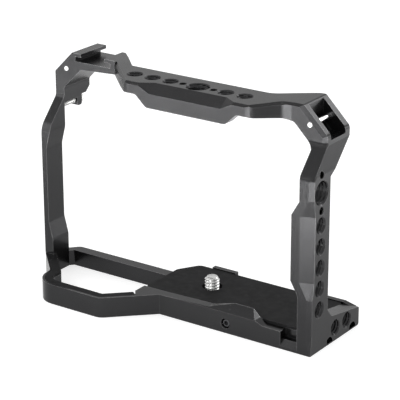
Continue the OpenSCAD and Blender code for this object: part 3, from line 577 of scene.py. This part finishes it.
def make_hole_threads():
    """The ridges in the accessory holes."""
    bm = bmesh.new()
    up, out, down = (0, 0, 1), (1, 0, 0), (0, 0, -1)

    low = TOP_Z - BEAM_T + MOUTH_GAP
    length = BEAM_T - 2 * MOUTH_GAP
    thread_surface(bm, placed(LENS_X, ROW_Y, low, up), *THREE_EIGHTH, length, True)
    for side, count in ((-1, ROW_LEFT), (1, ROW_RIGHT)):
        for i in range(count):
            offset = side * (FIRST_HOLE + HOLE_PITCH * i)
            place = placed(LENS_X + offset, ROW_Y, low, up)
            thread_surface(bm, place, *QUARTER, length, True, offset)

    inner = SIDE_X - SIDE_T + INNER_GAP
    length = SIDE_T - INNER_GAP - MOUTH_GAP
    thread_surface(bm, placed(inner, COLUMN_Y, COLUMN_TOP, out), *THREE_EIGHTH, length, True)
    for i in range(COLUMN_COUNT):
        z = COLUMN_TOP - FIRST_HOLE - HOLE_PITCH * i
        thread_surface(bm, placed(inner, COLUMN_Y, z, out), *QUARTER, length, True, z)
    for y in FOOT_HOLES_Y:
        thread_surface(bm, placed(inner, y, FOOT_HOLE_Z, out), *QUARTER, length, True, y)

    low, high = BASE_THREAD
    place = placed(BASE_BIG_X, BASE_ROW_Y, high, down)
    thread_surface(bm, place, *THREE_EIGHTH, high - low, True)
    for x in BASE_SMALL_X:
        place = placed(x, BASE_ROW_Y, high, down)
        thread_surface(bm, place, *QUARTER, high - low, True, x)

    threads = new_object("hole_threads", bm, 60)
    paint(threads, "thread")
    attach(threads, "frame")


# ---------- screws and fittings ----------

def make_camera_screw():
    """The screw into the camera's tripod socket: a knurled head with a coin slot and a hex
    socket, and a 1/4 inch thread that starts a little inside the head."""
    radius, height, stud_len, sunk = 6.2, 3.0, 10.0, 0.05
    slot_half, slot_deep = 0.8, 1.2
    hex_w, hex_deep = 4.6, 2.4
    x, y, z = CAMERA_SCREW
    place = placed(x, y, z, (0, 0, 1))
    bm = bmesh.new()
    revolve(bm, place, [
        (0, 0), (radius - 0.5, 0), (radius, 0.5), (radius, height - 0.4),
        (radius - 0.4, height), (0, height)], 120, 0.16)
    head = new_object("camera_screw_head", bm)
    slot = block(place, (-7, 7), (-slot_half, slot_half), (-1, slot_deep))
    cut_away(head, [slot, hexagon(place, hex_w, -1, hex_deep)])
    add_bevel(head, 0.08, 40)
    bm = bmesh.new()
    stud(bm, placed(x, y, z + height - sunk, (0, 0, 1)), *QUARTER, stud_len + sunk, 0.7)
    thread = new_object("camera_screw_thread", bm, 60)
    for obj in (head, thread):
        paint(obj, "stud_steel")
        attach(obj, "camera_screw")
    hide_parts("camera_screw")
    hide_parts("camera_screw")


def make_eyelet_screw():
    """The small slotted screw that runs through the camera's strap eyelet. Along its axis
    lie a thread, a plain shank and a knurled head."""
    shank_low, head_low, head_high, sunk = 12.0, 14.6, 16.2, 0.2
    shank, rim, radius = 1.24, 1.7, 1.99
    slot_half, slot_deep = 0.35, 0.8
    x, y, z = EYELET_SCREW
    place = placed(x, y, z, (0, 1, 0))
    bm = bmesh.new()
    revolve(bm, place, [
        (0, shank_low), (shank, shank_low), (shank, head_low), (rim, head_low),
        (radius, head_low + 0.25), (radius, head_high - 0.3), (rim, head_high),
        (0, head_high)], 64, 0.1)
    head = new_object("eyelet_screw_head", bm)
    slot = (head_high - slot_deep, head_high + slot_deep)
    cut_away(head, [block(place, (-3, 3), (-slot_half, slot_half), slot)])
    add_bevel(head, 0.05, 40)
    bm = bmesh.new()
    thread_len = shank_low + sunk
    stud(bm, placed(x, y + thread_len, z, (0, -1, 0)), *EYELET, thread_len, 0.4)
    thread = new_object("eyelet_screw_thread", bm, 60)
    for obj in (head, thread):
        paint(obj, "screw_steel")
        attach(obj, "eyelet_screw")
        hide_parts("eyelet_screw")


def make_sill_screw():
    """The set screw in the sill, with a hex socket."""
    length = 2.4
    hex_w, hex_deep = 2.3, 1.4
    x, y, z = SILL_SCREW
    bm = bmesh.new()
    stud(bm, placed(x, y + length, z, (0, -1, 0)), *GRUB, length, 0.3)
    screw = new_object("sill_screw", bm)
    cut_away(screw, [hexagon(placed(x, y, z, (0, 1, 0)), hex_w, -1, hex_deep)])
    paint(screw, "black_steel")
    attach(screw, "frame")
    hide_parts("sill_grub_screw")


def paint_cad_nodes():
    """Material and bevel width of the CAD nodes that are shown as they are."""
    finish = {
        "grip_strap_pin": ("pin_steel", 0.1), "side_strap_pin": ("pin_steel", 0.1),
        "screw_washer": ("nylon", 0.08), "eyelet_ring": ("silicone", 0.08),
        # base_pad and loop_pad are black partly as real silicone pads and partly as painted
        # shade on the tops of the base and the loop, where shade falls under the camera.
        "base_pad": ("silicone", 0.3), "loop_pad": ("silicone", 0.3),
        "side_pad": ("silicone", 0.2), "driver_shaft": ("screw_steel", 0.08),
        "driver_grip": ("driver_aluminium", 0.06), "driver_magnets": ("nickel", 0.12),
        "sill_grub_tip": ("nylon", 0.1),
    }
    for name, (material, edge) in finish.items():
        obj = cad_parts[name]
        paint(obj, material)
        add_bevel(obj, edge, 35)


# ---------- stage, camera and light ----------

def seen_white(tree):
    """1 for the rays that show the white background: camera, reflections and glass."""
    path = tree.nodes.new("ShaderNodeLightPath")
    value = path.outputs["Is Camera Ray"]
    for ray in ("Is Glossy Ray", "Is Transmission Ray"):
        either = tree.nodes.new("ShaderNodeMath")
        either.operation = "MAXIMUM"
        tree.links.new(value, either.inputs[0])
        tree.links.new(path.outputs[ray], either.inputs[1])
        value = either.outputs["Value"]
    return value


def make_floor():
    """A pale floor, white to the camera and in reflections but for the object's shadow."""
    bm = bmesh.new()
    bmesh.ops.create_grid(bm, x_segments=1, y_segments=1, size=FLOOR_HALF)
    floor = new_object("floor", bm)
    floor.location = (0, 0, -FLOOR_DROP)
    n = Nodes("pale_floor")
    colour = n.mix(n.noise(3, 4), (0.62, 0.62, 0.62), (0.64, 0.64, 0.64))
    n.set(Base_Color=colour, Roughness=0.7, Specular_IOR_Level=0.1)
    glow = n.add("ShaderNodeEmission")
    glow.inputs["Color"].default_value = (1, 1, 1, 1)
    n.link(n.product(seen_white(n.tree), FLOOR_WHITE), glow.inputs["Strength"])
    both = n.add("ShaderNodeAddShader")
    n.link(n.shader.outputs["BSDF"], both.inputs[0])
    n.link(glow.outputs["Emission"], both.inputs[1])
    n.link(both.outputs["Shader"], n.out.inputs["Surface"])
    floor.data.materials.append(n.mat)


def make_camera():
    """The camera at the photograph's view."""
    azimuth, elevation, roll = (math.radians(a) for a in VIEW_ANGLES)
    forward = Vector((-math.sin(azimuth) * math.cos(elevation),
                      math.cos(azimuth) * math.cos(elevation), -math.sin(elevation)))
    right = Vector((math.cos(azimuth), math.sin(azimuth), 0))
    up = right.cross(forward)
    c, s = math.cos(roll), math.sin(roll)
    right, up = c * right + s * up, -s * right + c * up
    seen_right, seen_down, seen_away = (v * HOLE_PITCH / FIT_PITCH for v in DATUM_SEEN)
    to_datum = right * seen_right - up * seen_down + forward * seen_away
    centre = Vector(VIEW_DATUM) - to_datum
    data = bpy.data.cameras.new("camera")
    data.sensor_width = SENSOR_MM
    data.lens = SENSOR_MM * FOCAL_PX / PICTURE_PX
    data.clip_end = 20.0
    camera = bpy.data.objects.new("camera", data)
    bpy.context.scene.collection.objects.link(camera)
    turn = Matrix((right, up, -forward)).transposed().to_4x4()
    camera.matrix_world = Matrix.Translation(centre * MM) @ turn
    bpy.context.scene.camera = camera


def area_light(name, place, target, size, power, spread):
    data = bpy.data.lights.new(name, "AREA")
    data.shape = "RECTANGLE"
    data.size, data.size_y = size
    data.energy = power
    data.spread = math.radians(spread)
    light = bpy.data.objects.new(name, data)
    bpy.context.scene.collection.objects.link(light)
    light.location = place
    aim = Vector(target) - Vector(place)
    light.rotation_euler = aim.to_track_quat("-Z", "Y").to_euler()


def make_light():
    """Soft lamps and even light all around, before a white background."""
    for lamp in LAMPS:
        area_light(*lamp)
    world = bpy.data.worlds.new("studio")
    world.use_nodes = True
    bpy.context.scene.world = world
    tree = world.node_tree
    tree.nodes.clear()
    out = tree.nodes.new("ShaderNodeOutputWorld")
    pick = tree.nodes.new("ShaderNodeMixShader")
    tree.links.new(seen_white(tree), pick.inputs["Fac"])
    # The mix takes its first shader for other rays and its second for those that show white
    for socket, strength in ((1, WORLD_LIGHT), (2, 1.0)):
        node = tree.nodes.new("ShaderNodeBackground")
        node.inputs["Color"].default_value = (1, 1, 1, 1)
        node.inputs["Strength"].default_value = strength
        tree.links.new(node.outputs["Background"], pick.inputs[socket])
    tree.links.new(pick.outputs["Shader"], out.inputs["Surface"])


make_cage()
make_hole_threads()
make_camera_screw()
make_eyelet_screw()
make_sill_screw()
paint_cad_nodes()
make_floor()
make_camera()
make_light()
bpy.context.scene.view_settings.view_transform = "Standard"
